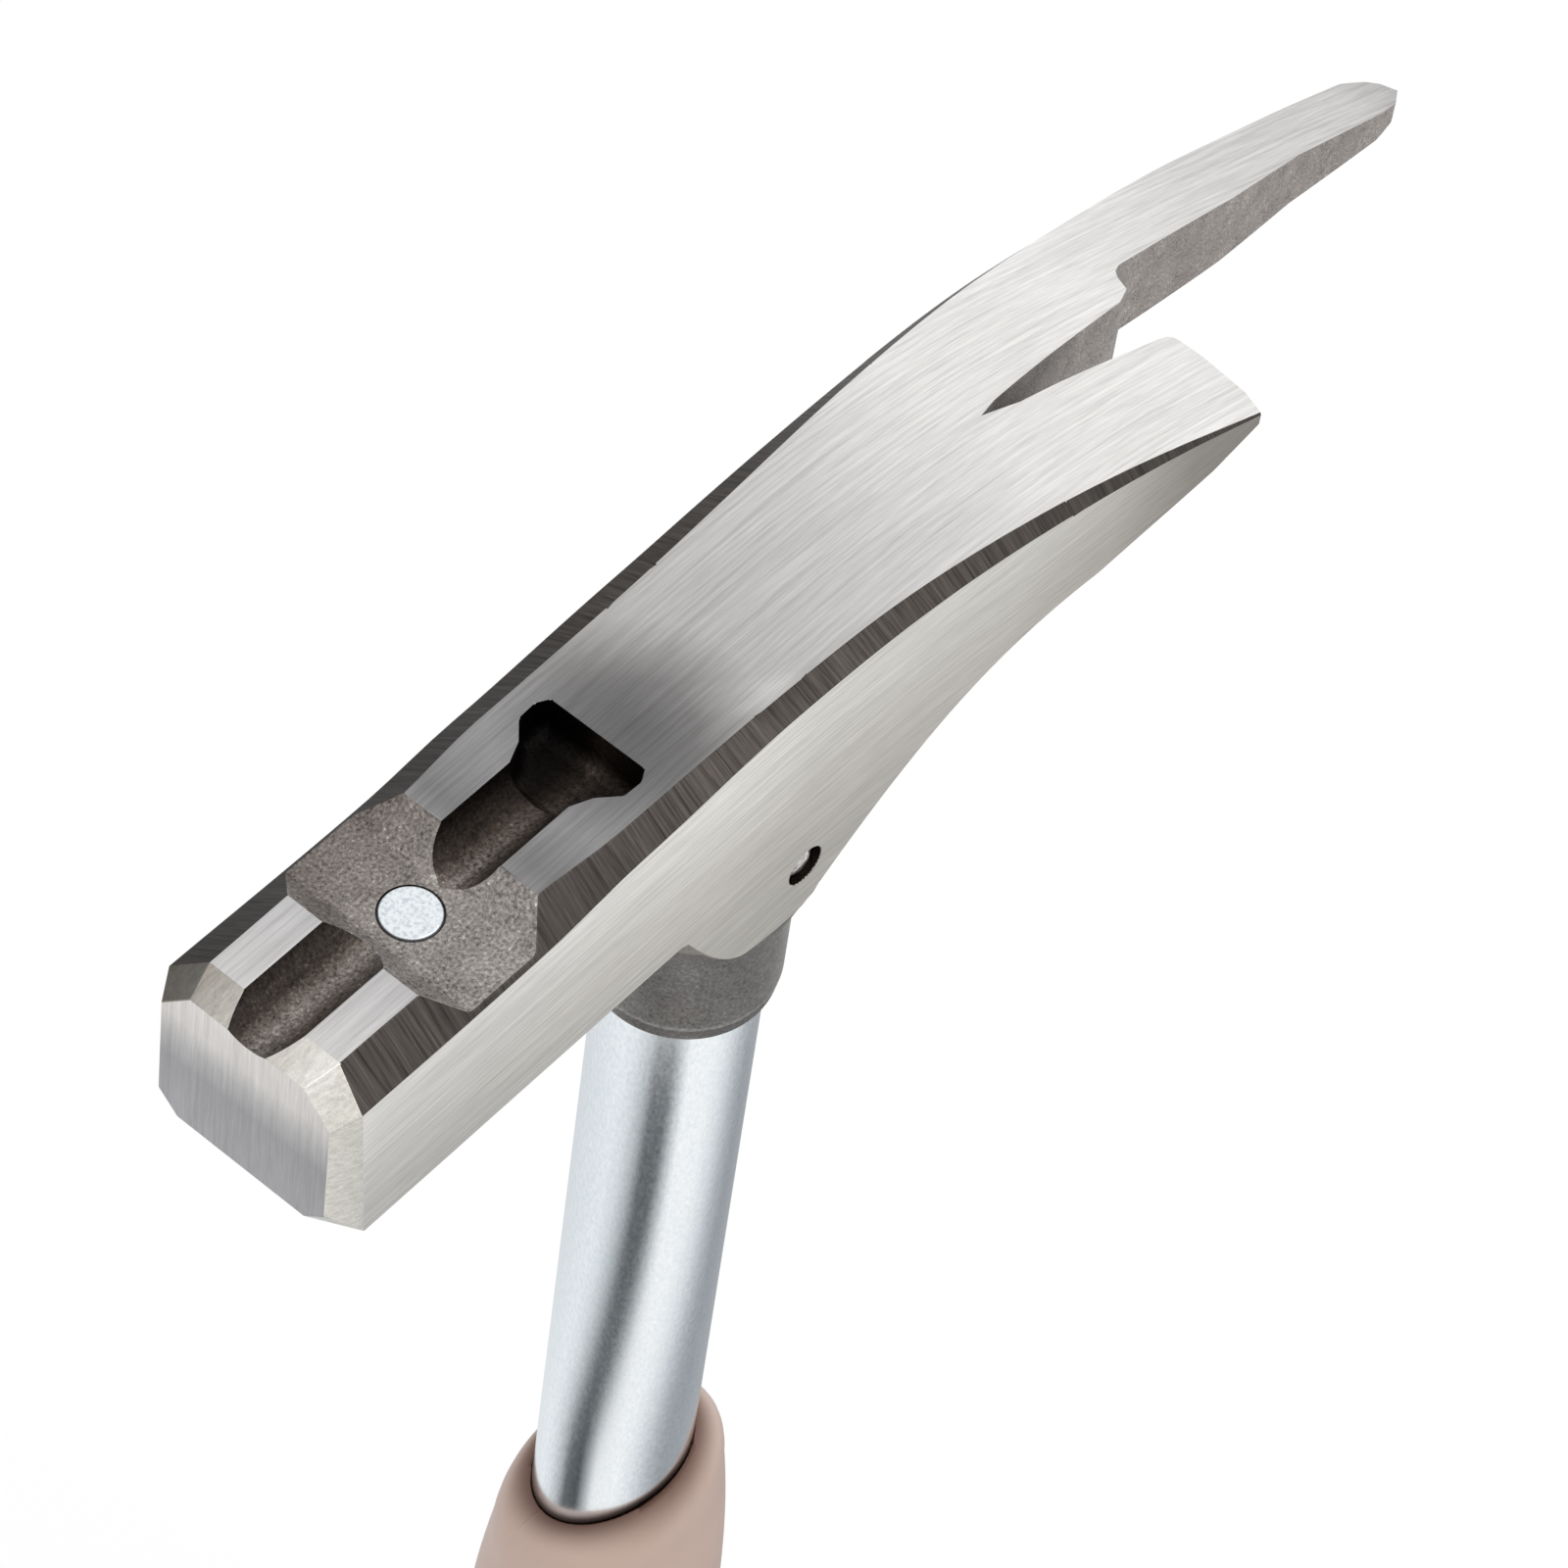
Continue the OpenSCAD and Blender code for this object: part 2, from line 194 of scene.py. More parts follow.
# Painted light and shade on the bevel's facets: palest on the -Y side, darkest at the +Y corner
bevel_painted_shade = ("Y", -12.4, 12.4, [(0.0, "#eeeeea"), (0.1, "#f0f0ec"), (0.2, "#ffffff"), (0.35, "#e4e3e0"),
                                   (0.6, "#d6d5d2"), (0.85, "#aaa5a0"), (1.0, "#989088")])
# Painted shade on the recess floor: darker towards the +Y side
recess_painted_shade = ("Y", -12, 12, [(0.0, "#ffffff"), (0.5, "#f2f1f0"), (1.0, "#c6c2bf")])
# Painted highlight and shade across the grooves: a pale streak just off the middle, dark towards the +Y side
groove_painted_highlight_and_shade = ("Y", -4.5, 4.5, [(0.0, "#8c8680"), (0.2, "#b0aaa4"), (0.42, "#ffffff"), (0.55, "#b8b2ac"),
                                  (0.68, "#6a645f"), (1.0, "#4a4541")])
# Painted shade: the groove's finish darkens along the back groove into the nail pocket
pocket_painted_shade = ("X", -42, -25, [(0.0, "#ffffff"), (0.5, "#ccc6c2"), (1.0, "#7a736e")])
# Painted highlight: a thin bright line at the top of the collar's rim chamfer, over a slightly darker painted
# band on the chamfer
rim_painted_highlight = ("Z", 262.3, 276, [(0.0, "#c4c2c0"), (0.15, "#b8b6b4"), (0.165, "#ffffff"), (0.19, "#f8f7f6"),
                                (0.21, "#cccac8"), (1.0, "#d0cecc")])
groove_shades = [groove_painted_highlight_and_shade, pocket_painted_shade]
head_finishes = [
    ground_steel("ground_top", "#d6d4d2", "#fbf9f7", (4.5, 0.1, 4.5), 0.36, 0.006, [top_painted_shade, painted_shadow_by_pocket]),
    ground_steel("cross_ground_edge", "#34302e", "#5a5551", (0.12, 4.0, 4.0), 0.45, 0.015),
    ground_steel("ground_side", "#dad7d3", "#fffdf9", (4.5, 4.5, 0.1), 0.38, 0.006, [side_painted_shade_along, side_painted_shade_down]),
    ground_steel("ground_bevel", "#d2cfca", "#f8f5f0", (3.0, 0.12, 0.12), 0.34, 0.006, [bevel_painted_shade]),
    ground_steel("striking_face", "#cfcecd", "#eae8e7", (3.0, 0.12, 4.0), 0.36, 0.006, [down_face]),
    forged_steel("forged_recess", "#4a4541", "#b5afab", "#fffaf5", 0.4, 0.46, 0.18, [recess_painted_shade]),
    # The grooves, pocket, magnet seat and pin hole take a darker copy of the recess's forged steel: painted
    # shade
    forged_steel("forged_groove", "#2c2723", "#a39b95", "#f6eee6", 0.4, 0.4, 0.18, groove_shades),
    forged_steel("forged_claw_wall", "#524c48", "#a8a19c", "#ded7d1", 0.28, 0.5, 0.06),
    forged_steel("forged_collar", "#666361", "#a3a19f", "#bdbbb9", 0.4, 0.46, 0.03, [rim_painted_highlight]),
    forged_steel("forged_underside", "#625c57", "#a8a19a", "#cfc8c0", 0.3, 0.5, 0.05),
]


def put_in_order(bm):
    """Orders a mesh's points, edges and faces by place, so that each run builds on the same mesh."""
    def place(vert):
        return [round(size, 7) for size in vert.co]

    def places(item):
        return sorted(place(vert) for vert in item.verts)

    for items, key in ((bm.verts, place), (bm.edges, places), (bm.faces, places)):
        items.index_update()
        rank = {item.index: k for k, item in enumerate(sorted(items, key=key))}
        items.sort(key=lambda item: rank[item.index])


def new_piece(name, bm, finishes):
    """Makes an object of a mesh drawn in millimetres, with its place in its mesh."""
    bmesh.ops.transform(bm, matrix=Matrix.Scale(0.001, 4), verts=bm.verts)
    bmesh.ops.recalc_face_normals(bm, faces=bm.faces)
    put_in_order(bm)
    mesh = bpy.data.meshes.new(name)
    bm.to_mesh(mesh)
    bm.free()
    for finish in finishes:
        mesh.materials.append(finish)
    piece = bpy.data.objects.new(name, mesh)
    bpy.context.scene.collection.objects.link(piece)
    return piece


def settle(piece):
    """Turns a piece's modifiers into its mesh."""
    graph = bpy.context.evaluated_depsgraph_get()
    mesh = bpy.data.meshes.new_from_object(piece.evaluated_get(graph))
    piece.modifiers.clear()
    piece.data = mesh


def carve(piece, cutter, operation="DIFFERENCE"):
    """Cuts one shape out of a piece, or joins it on, and removes the cutter."""
    step = piece.modifiers.new("carve", "BOOLEAN")
    step.operation = operation
    step.solver = "EXACT"
    step.object = cutter
    settle(piece)
    bpy.data.objects.remove(cutter)
    bm = bmesh.new()
    bm.from_mesh(piece.data)
    put_in_order(bm)
    bm.to_mesh(piece.data)
    bm.free()


def span_at(knots, x):
    """The pair of knots that a place lies between."""
    for low, high in zip(knots, knots[1:]):
        if x < high[0]:
            return low, high
    return knots[-2], knots[-1]


def curve(knots, x):
    """A smooth curve through knots of place, size and slope."""
    low, high = span_at(knots, x)
    reach = high[0] - low[0]
    t = min(max((x - low[0]) / reach, 0), 1)
    rise = t * t * (3 - 2 * t)
    return low[1] * (1 - rise) + high[1] * rise + reach * t * (1 - t) * (low[2] * (1 - t) - high[2] * t)


# The head's outline along X: half its width, the dark edges' inset and drop, the side's foot below the top,
# and the foot's own inset
half_width = [(-84, 12.4, 0), (-10.4, 12.15, 0), (33.4, 13.8, 0.07), (69, 16.2, 0.055),
              (104, 17.9, 0.01), (125, 18.28, 0.004), (140, 18.28, 0)]
edge_inset = [(-71, 4.14, 0), (-39.7, 3.72, -0.02), (-27, 2.8, -0.01), (8.4, 2.28, -0.02),
              (33.4, 1.39, -0.03), (70, 0.15, -0.02), (140, 0.1, 0)]
edge_drop = [(-71, 3.4, 0.005), (-39.7, 3.6, -0.03), (-27, 2.36, -0.01), (-4.2, 1.18, 0),
             (33.4, 1.31, -0.01), (70, 0.26, -0.01), (140, 0.1, 0)]
side_foot = [(-71, -24.4, -0.015), (-18.2, -25.3, -0.01), (-17.1, -25.8, -1.6), (-8.3, -36.9, -0.7),
             (-4.2, -38.1, -0.1), (1.7, -38.1, 0.15), (3, -37.5, 0.82), (20.5, -24.2, 0.645),
             (46, -13.8, 0.24), (82, -11, 0.049), (133, -4.4, 0.208), (139.5, -1.85, 0.435)]
foot_inset = [(-71, 1.83, 0), (-20.9, 1.83, 0), (-17.1, 0.52, 0), (3, 0.52, 0), (25, 1.3, 0), (83, 0.8, 0),
              (140, 0.15, 0)]


def top_drop(x):
    """How far the top has curved down: level to the tube, one arc, then a flatter one on the long claw."""
    start, join, arc, flat_arc = 5.2, 59.9, 162.0, 1300.0
    if x < start:
        return 0.0
    lean = (min(x, join) - start) / arc
    drop = arc * (1 - math.sqrt(1 - lean * lean))
    if x > join:
        further = lean + (x - join) / flat_arc
        drop += flat_arc * (math.sqrt(1 - lean * lean) - math.sqrt(1 - further * further))
    return drop


def section(x):
    """The eight corners of the head's outline at one place along it."""
    w = curve(half_width, x)
    flat = w - curve(edge_inset, x)
    top = HEAD_TOP - top_drop(x)
    edge = top - curve(edge_drop, x)
    foot = top + curve(side_foot, x)
    inset = curve(foot_inset, x)
    right = [(flat, top), (w, edge), (w, foot), (w - inset, foot - inset)]
    return [Vector((x, y, z)) for y, z in right + [(-y, z) for y, z in reversed(right)]]


def stations(low, high, step):
    """Evenly spaced places from just after low to high."""
    count = math.ceil((high - low) / step)
    return [low + (high - low) * k / count for k in range(1, count + 1)]


def loft(rings, finish_of):
    """Draws the first ring, extrudes it from ring to ring, and caps both ends."""
    bm = bmesh.new()
    loop = [bm.verts.new(p) for p in rings[0]]
    sides = len(loop)
    edges = [bm.edges.new((loop[j], loop[(j + 1) % sides])) for j in range(sides)]
    bmesh.ops.contextual_create(bm, geom=edges)
    for step, points in enumerate(rings[1:]):
        grown = bmesh.ops.extrude_edge_only(bm, edges=edges)["geom"]
        fresh = [v for v in grown if isinstance(v, bmesh.types.BMVert)]
        moved = [min(fresh, key=lambda v: (v.co - old.co).length_squared) for old in loop]
        for face in (f for f in grown if isinstance(f, bmesh.types.BMFace)):
            old = [j for j in range(sides) if loop[j] in face.verts]
            first = old[0] if old[1] - old[0] == 1 else old[1]
            face.material_index = finish_of(step, first)
        for vert, point in zip(moved, points):
            vert.co = point
        loop = moved
        edges = [bm.edges.get((loop[j], loop[(j + 1) % sides])) for j in range(sides)]
    bmesh.ops.contextual_create(bm, geom=edges)
    return bm


def head_block():
    """The forging before its cuts: face, bevel and then the long body."""
    corners = [(7.2, -1.2), (10.76, -5.1), (10.76, -19.1), (8.2, -21.6)]
    face = [Vector((FACE_X, y, HEAD_TOP + z)) for y, z in corners + [(-y, z) for y, z in reversed(corners)]]
    start = FACE_X + 3.8
    lean = [0, -1.1, 0.35, 2.1, 2.1, 0.35, -1.1, 0]
    bevel = [p + Vector((shift, 0, 0)) for p, shift in zip(section(start), lean)]
    spans = [(start, -18.2, 3.1), (-18.2, -17.1, 2.0), (-17.1, 3.0, 1.0), (3.0, TIP_X, 1.5)]
    rings = [face, bevel] + [section(x) for low, high, step in spans for x in stations(low, high, step)]
    strips = [EDGE, SIDE, UNDER, UNDER, UNDER, SIDE, EDGE, GROUND_TOP]
    bm = loft(rings, lambda step, j: BEVEL if step == 0 else strips[j])
    for bm_face in bm.faces:
        if all(abs(v.co.x - FACE_X) < 0.01 for v in bm_face.verts):
            bm_face.material_index = FACE
    return bm


def prism(points, low, high, finish, turn=Matrix.Identity(4)):
    """A flat outline raised from one height to another, and then turned into place."""
    bm = bmesh.new()
    base = bm.faces.new([bm.verts.new((x, y, low)) for x, y in points])
    grown = bmesh.ops.extrude_face_region(bm, geom=[base])["geom"]
    raised = [v for v in grown if isinstance(v, bmesh.types.BMVert)]
    bmesh.ops.translate(bm, vec=(0, 0, high - low), verts=raised)
    bmesh.ops.transform(bm, matrix=turn, verts=bm.verts)
    for face in bm.faces:
        face.material_index = finish
    return bm


def round_edges(bm, chosen, radius, segments):
    """Rounds the edges that a rule picks."""
    edges = [e for e in bm.edges if chosen(e)]
    bmesh.ops.bevel(bm, geom=edges, offset=radius, offset_type="OFFSET", segments=segments, profile=0.5,
                    affect="EDGES", material=-1, clamp_overlap=True)


def rod(radius, start, end, finish, segments=96):
    """A round bar from one point to another."""
    bm = bmesh.new()
    axis = Vector(end) - Vector(start)
    middle = (Vector(start) + Vector(end)) / 2
    turn = Matrix.Translation(middle) @ axis.to_track_quat("Z", "Y").to_matrix().to_4x4()
    bmesh.ops.create_cone(bm, cap_ends=True, segments=segments, radius1=radius, radius2=radius,
                          depth=axis.length, matrix=turn)
    for face in bm.faces:
        face.material_index = finish
    return bm


def pin_hole(finish):
    """The bar that drills the pin's hole from side to side."""
    return rod(PIN_HOLE_R, (PIN_X, 25, PIN_Z), (PIN_X, -25, PIN_Z), finish)


def turned(profile, finish_of, segments=128):
    """A shape turned on the tube's axis from a profile of radius and height."""
    bm = bmesh.new()
    verts = [bm.verts.new((r, 0, z)) for r, z in profile]
    edges = [bm.edges.new(pair) for pair in zip(verts, verts[1:])]
    bmesh.ops.spin(bm, geom=verts + edges, cent=(0, 0, 0), axis=(0, 0, 1), angle=math.tau, steps=segments,
                   use_merge=True)
    bmesh.ops.remove_doubles(bm, verts=bm.verts, dist=0.001)
    for face in bm.faces:
        face.material_index = finish_of(face.calc_center_median())
    return bm


def trim(bm, place, away):
    """Cuts a shape off flat beyond a plane, and closes the cut."""
    geom = list(bm.verts) + list(bm.edges) + list(bm.faces)
    cut = bmesh.ops.bisect_plane(bm, geom=geom, plane_co=place, plane_no=away, clear_outer=True)["geom_cut"]
    bmesh.ops.contextual_create(bm, geom=[e for e in cut if isinstance(e, bmesh.types.BMEdge)])


def flare(profile, low_x, high_x):
    """One half of the forged shoulder, cut to the head's width by its flat sides."""
    shoulder_half = 12.0
    bm = turned([(0, COLLAR_FOOT + SHOULDER_RISE)] + profile + [(0, profile[-1][1])], lambda c: UNDER)
    for side in (-1, 1):
        trim(bm, (0, shoulder_half * side, 0), (0, side, 0))
    trim(bm, (low_x, 0, 0), (-1, 0, 0))
    trim(bm, (high_x, 0, 0), (1, 0, 0))
    return bm


def claw_gap():
    """All that is not claw, seen from above: the nail slot, the step behind it and the rounded tips."""
    spike_in = [(40.7, 0.7), (43.8, 1.4), (56.6, 2.8), (70, 4.3), (72.7, 5.4), (73.5, 7.2), (74.3, 8.1),
                (75.6, 8.6), (89.8, 9.4), (99.2, 9.9), (114.8, 11.4), (133, 12.0), (136.8, 12.6)]
    tip = [(139.4, 14.1), (138.4, 16), (136.8, 17.1), (134.3, 17.9), (130.5, 18.85)]
    claw = [(67.8, -16.4), (69.4, -12.9), (70.3, -7), (70.5, -4), (70.2, -2.7), (69.6, -2.25), (68.6, -2.1),
            (45.9, -0.4)]
    outside = [(130.5, 24), (146, 24), (146, -24), (66, -24)]
    return prism(spike_in + tip + outside + claw, HEAD_TOP - 60, HEAD_TOP + 10, CLAW_WALL)


def claw_undercut():
    """The short claw is ground thinner from below to a chisel edge."""
    below = [(36.6, -20.3), (49.2, -18.3), (61.2, -16.5), (67.8, -14.3), (72, -12.8), (72, -52), (36.6, -52)]
    turn = Matrix.Translation((0, 0.9, HEAD_TOP)) @ Matrix.Rotation(math.pi / 2, 4, "X")
    return prism(below, 0, 25, SIDE, turn)


def recess():
    """The cross recess of the nail holder, with sloping walls and soft inner corners."""
    low, high, over = 4.7, 8.3, 4
    slope = over * (high - low) / RECESS_DEPTH
    points = [(-low, -RECESS_DEPTH), (low, -RECESS_DEPTH), (high + slope, over), (-high - slope, over)]
    turn = Matrix.Translation((MAGNET_X, 25, HEAD_TOP)) @ Matrix.Rotation(math.pi / 2, 4, "X")
    bm = prism(points, 0, 50, FORGED, turn)

    def inner_corner(edge):
        first, last = (vert.co for vert in edge.verts)
        return max(first.z, last.z) < HEAD_TOP - 3 and abs(first.x - last.x) < 0.1

    round_edges(bm, inner_corner, 0.5, 3)
    return bm


def head_pocket():
    """The fishtail pocket that takes the nail's head, with a rounded floor."""
    back, front, neck, wide = -19.75, -28.4, 3.7, 6.7
    half = [(front, neck), (-25.8, 4.8), (-23.6, wide), (-21.2, 6.8), (back, 6.0)]
    bm = prism(half + [(x, -y) for x, y in reversed(half)], HEAD_TOP - 5.0, HEAD_TOP + 5, GROOVE)
    round_edges(bm, lambda e: all(v.co.z < HEAD_TOP for v in e.verts), 2.4, 7)
    return bm


head = new_piece("lath_hammer_head", head_block(), head_finishes)
front_flare = [(12.2, HEAD_TOP - 38.7), (12.7, HEAD_TOP - 38.4), (15.1, HEAD_TOP - 35.5),
               (17.0, HEAD_TOP - 32.0), (18.2, HEAD_TOP - 28.0), (19.3, HEAD_TOP - 25.4)]
back_flare = [(12.2, HEAD_TOP - 38.7), (12.7, HEAD_TOP - 38.1), (13.25, HEAD_TOP - 36.4),
              (14.1, HEAD_TOP - 34.6), (15.3, HEAD_TOP - 32.7), (17.0, HEAD_TOP - 31.0),
              (18.8, HEAD_TOP - 29.5), (21.8, HEAD_TOP - 26.5), (28.6, HEAD_TOP - 22.5)]
collar = [(0, COLLAR_FOOT), (10.2, COLLAR_FOOT), (COLLAR_R, COLLAR_FOOT + COLLAR_RIM),
          (COLLAR_R, COLLAR_FOOT + 13.8), (12.2, COLLAR_FOOT + SHOULDER_RISE), (12.2, COLLAR_FOOT + 21.4),
          (0, COLLAR_FOOT + 21.4)]
for part in (flare(front_flare, -40, 0.05), flare(back_flare, -0.05, 40), turned(collar, lambda c: COLLAR)):
    carve(head, new_piece("shoulder_part", part, head_finishes), "UNION")
groove_r, back_groove_r = 4.96, 3.8
groove_z = HEAD_TOP + groove_r - 1.8
back_groove_z = HEAD_TOP + back_groove_r - RECESS_DEPTH
cuts = [
    claw_gap(),
    claw_undercut(),
    recess(),
    rod(groove_r, (FACE_X - 12, 0, groove_z), (MAGNET_X, 0, groove_z), GROOVE),
    rod(back_groove_r, (MAGNET_X, 0, back_groove_z), (-24.6, 0, back_groove_z), GROOVE),
    head_pocket(),
    rod(SEAT_R, (MAGNET_X, 0, SEAT_FLOOR), (MAGNET_X, 0, HEAD_TOP + 12), GROOVE),
    rod(TUBE_R, (0, 0, COLLAR_FOOT - 12), (0, 0, SOCKET_TOP), COLLAR),
    pin_hole(GROOVE),
]
for part in cuts:
    carve(head, new_piece("cutter", part, head_finishes))


def soften(piece, pick, width_mm, segments=3):
    """Breaks a piece's hard edges by a small round, as wide as a rule says for each edge."""
    bm = bmesh.new()
    bm.from_mesh(piece.data)
    bmesh.ops.remove_doubles(bm, verts=bm.verts, dist=0.00001)
    bmesh.ops.dissolve_degenerate(bm, edges=bm.edges, dist=0.00001)
    bmesh.ops.dissolve_limit(bm, angle_limit=math.radians(0.05), verts=bm.verts, edges=bm.edges,
                             delimit={"MATERIAL"})
    layers = bm.edges.layers.float
    weight = layers.get("bevel_weight_edge") or layers.new("bevel_weight_edge")
    for face in bm.faces:
        face.smooth = True
    for edge in bm.edges:
        turn = edge.calc_face_angle(0.0)
        edge[weight] = pick(edge, turn)
        edge.smooth = turn < HARD_TURN and edge[weight] == 0
    bm.to_mesh(piece.data)
    bm.free()
    step = piece.modifiers.new("edge_break", "BEVEL")
    step.width = width_mm / 1000
    step.segments = segments
    step.limit_method = "WEIGHT"
    step.use_clamp_overlap = False
    step.harden_normals = True
    settle(piece)


def hard_edge(edge, turn):
    """Every hard edge is rounded in full."""
    return 1.0 if turn > HARD_TURN else 0.0


def no_edge(edge, turn):
    """No edge is rounded."""
    return 0.0


def head_edge(edge, turn):
    """Ground edges are nearly crisp and forged ones rounder; the thin ones on the claws are left sharp."""
    claws_x, collar_z = 0.038, (HEAD_TOP - 40) / 1000
    on_rim = all(abs(v.co.z * 1000 - COLLAR_FOOT - COLLAR_RIM) < 0.05 for v in edge.verts)
    if on_rim and turn > math.radians(6):
        return 0.5
    if turn < HARD_TURN:
        return 0.0
    finishes = {face.material_index for face in edge.link_faces}
    if finishes in ({FORGED, GROOVE}, {BEVEL, GROOVE}):
        return 0.0
    if finishes & {COLLAR, UNDER} and max(v.co.z for v in edge.verts) > collar_z:
        return 0.0
    if finishes & {CLAW_WALL, EDGE, UNDER} and max(v.co.x for v in edge.verts) > claws_x:
        return 0.0
    return 1.0 if finishes <= {FORGED, GROOVE, COLLAR, CLAW_WALL} else 0.35


soften(head, head_edge, 0.4)
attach(head, "root")
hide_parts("head")

# Nail magnet
# A round nickel-plated magnet glued into the recess, so that a nail's shank holds itself in the groove.
# Its top is finely pitted, and its rim is broken by a small round.
MAGNET_TOP = HEAD_TOP - 3.0
MAGNET_FOOT = MAGNET_TOP - 4.0


def nickel_plate():
    """Nickel plating over sintered magnet: bluish white, dull, with fine pits."""
    made, tree, out = new_material("nickel_plate")
    place = node(tree, "TexCoord").outputs["Object"]
    cell = node(tree, "Mapping", {"Vector": place, "Scale": per_metre([0.5] * 3)}).outputs["Vector"]
    pits = node(tree, "TexNoise", {"Vector": cell, "Scale": 1.0, "Detail": 3.0,
                                   "Roughness": 0.6}).outputs["Fac"]
    colour = ramp(tree, pits, [(0.35, "#c6ced3"), (0.55, "#e9eef1")])
    bump = node(tree, "Bump", {"Height": pits, "Strength": 0.4, "Distance": 0.00003})
    plate = node(tree, "BsdfPrincipled", {"Base Color": colour, "Metallic": 0.9, "Roughness": 0.45,
                                          "Normal": bump.outputs["Normal"]})
    tree.links.new(plate.outputs["BSDF"], out.inputs["Surface"])
    return made


magnet_disc = rod(MAGNET_R, (MAGNET_X, 0, MAGNET_FOOT), (MAGNET_X, 0, MAGNET_TOP), 0)
magnet = new_piece("nail_holding_magnet", magnet_disc, [nickel_plate()])
soften(magnet, hard_edge, 0.2)
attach(magnet, "root")
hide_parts("nail_magnet")

# Magnet adhesive
# Black epoxy, poured in before the magnet. It fills the seat under it and the thin ring round it, and stands
# a little below the recess's floor.


def cured_epoxy():
    """Filled epoxy: nearly black and dull."""
    made, tree, out = new_material("cured_epoxy")
    place = node(tree, "TexCoord").outputs["Object"]
    cell = node(tree, "Mapping", {"Vector": place, "Scale": per_metre([0.6] * 3)}).outputs["Vector"]
    lumps = node(tree, "TexNoise", {"Vector": cell, "Scale": 1.0, "Detail": 2.0}).outputs["Fac"]
    colour = ramp(tree, lumps, [(0.3, "#0d0c0c"), (0.7, "#24211f")])
    bump = node(tree, "Bump", {"Height": lumps, "Strength": 0.5, "Distance": 0.00005})
    epoxy = node(tree, "BsdfPrincipled", {"Base Color": colour, "Roughness": 0.6,
                                          "Normal": bump.outputs["Normal"]})
    tree.links.new(epoxy.outputs["BSDF"], out.inputs["Surface"])
    return made


epoxy_plug = rod(SEAT_R, (MAGNET_X, 0, SEAT_FLOOR), (MAGNET_X, 0, HEAD_TOP - 3.45), 0)
bond = new_piece("magnet_adhesive", epoxy_plug, [cured_epoxy()])
carve(bond, new_piece("cutter", rod(MAGNET_R, (MAGNET_X, 0, MAGNET_FOOT), (MAGNET_X, 0, HEAD_TOP), 0), []))
soften(bond, no_edge, 0.1)
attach(bond, "root")
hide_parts("magnet_bond")

# Tube
# A steel tube with a bright zinc plating, pressed into the collar and pinned there.
# It is painted darker just above where it enters the grip, as shade.
TUBE_FOOT = 4.0
TUBE_BORE = TUBE_R - 2.0


def zinc_plate():
    """Bright zinc plating: pale blue-grey and glossy, with a faint spangle drawn out along the tube."""
    made, tree, out = new_material("zinc_plate")
    place = node(tree, "TexCoord").outputs["Object"]
    cell = node(tree, "Mapping", {"Vector": place, "Scale": per_metre([0.4, 0.4, 0.9])}).outputs["Vector"]
    noise = node(tree, "TexNoise", {"Vector": cell, "Scale": 1.0, "Detail": 3.0, "Roughness": 0.6})
    spangle = noise.outputs["Fac"]
    colour = ramp(tree, spangle, [(0.3, "#e5eaee"), (0.7, "#f6f9fb")])
    # Painted shade: the plating goes near black just above the grip's slanting mouth and fades out within
    # about 2 mm
    rise = node(tree, "VectorMath", {0: place, 1: (-0.55, 0.6, 1.0)}, operation="DOT_PRODUCT")
    above = node(tree, "MapRange", {"Value": rise.outputs["Value"], "From Min": 0.1643, "From Max": 0.1662})
    tube_foot_shade = ramp(tree, above.outputs["Result"], [(0.0, "#2c2826"), (0.45, "#8e8c8b"), (1.0, "#ffffff")])
    matt = node(tree, "MapRange", {"Value": spangle, "To Min": 0.09, "To Max": 0.17}).outputs["Result"]
    bump = node(tree, "Bump", {"Height": spangle, "Strength": 0.1, "Distance": 0.00001})
    plate = node(tree, "BsdfPrincipled", {"Base Color": darkened(tree, colour, tube_foot_shade), "Metallic": 1.0,
                                          "Roughness": matt, "Normal": bump.outputs["Normal"]})
    tree.links.new(plate.outputs["BSDF"], out.inputs["Surface"])
    return made


wall_profile = [(TUBE_BORE, TUBE_FOOT), (TUBE_R, TUBE_FOOT), (TUBE_R, SOCKET_TOP), (TUBE_BORE, SOCKET_TOP),
                (TUBE_BORE, TUBE_FOOT)]
tube = new_piece("zinc_plated_tube", turned(wall_profile, lambda c: 0, 160), [zinc_plate()])
carve(tube, new_piece("cutter", pin_hole(0), []))
soften(tube, no_edge, 0.1)
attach(tube, "root")
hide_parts("handle_tube")

# Cross pin
# A steel pin driven through the collar's shoulder and the tube. Its ends are slightly domed, and lie just
# inside the head's sides.
pin_profile = [(0, -11.9), (1.2, -11.8), (1.9, -11.4), (2.2, -10.8), (2.2, 10.8), (1.9, 11.4), (1.2, 11.8),
               (0, 11.9)]


def bright_steel():
    """Drawn steel wire, cut and left bright, with uneven marks from the hammer that drove it."""
    made, tree, out = new_material("bright_steel")
    place = node(tree, "TexCoord").outputs["Object"]
    cell = node(tree, "Mapping", {"Vector": place, "Scale": per_metre([0.8] * 3)}).outputs["Vector"]
    marks = node(tree, "TexNoise", {"Vector": cell, "Scale": 1.0, "Detail": 3.0}).outputs["Fac"]
    colour = ramp(tree, marks, [(0.3, "#8c8783"), (0.7, "#f2efec")])
    bump = node(tree, "Bump", {"Height": marks, "Strength": 0.8, "Distance": 0.0002})
    steel = node(tree, "BsdfPrincipled", {"Base Color": colour, "Metallic": 1.0, "Roughness": 0.28,
                                          "Normal": bump.outputs["Normal"]})
    tree.links.new(steel.outputs["BSDF"], out.inputs["Surface"])
    return made


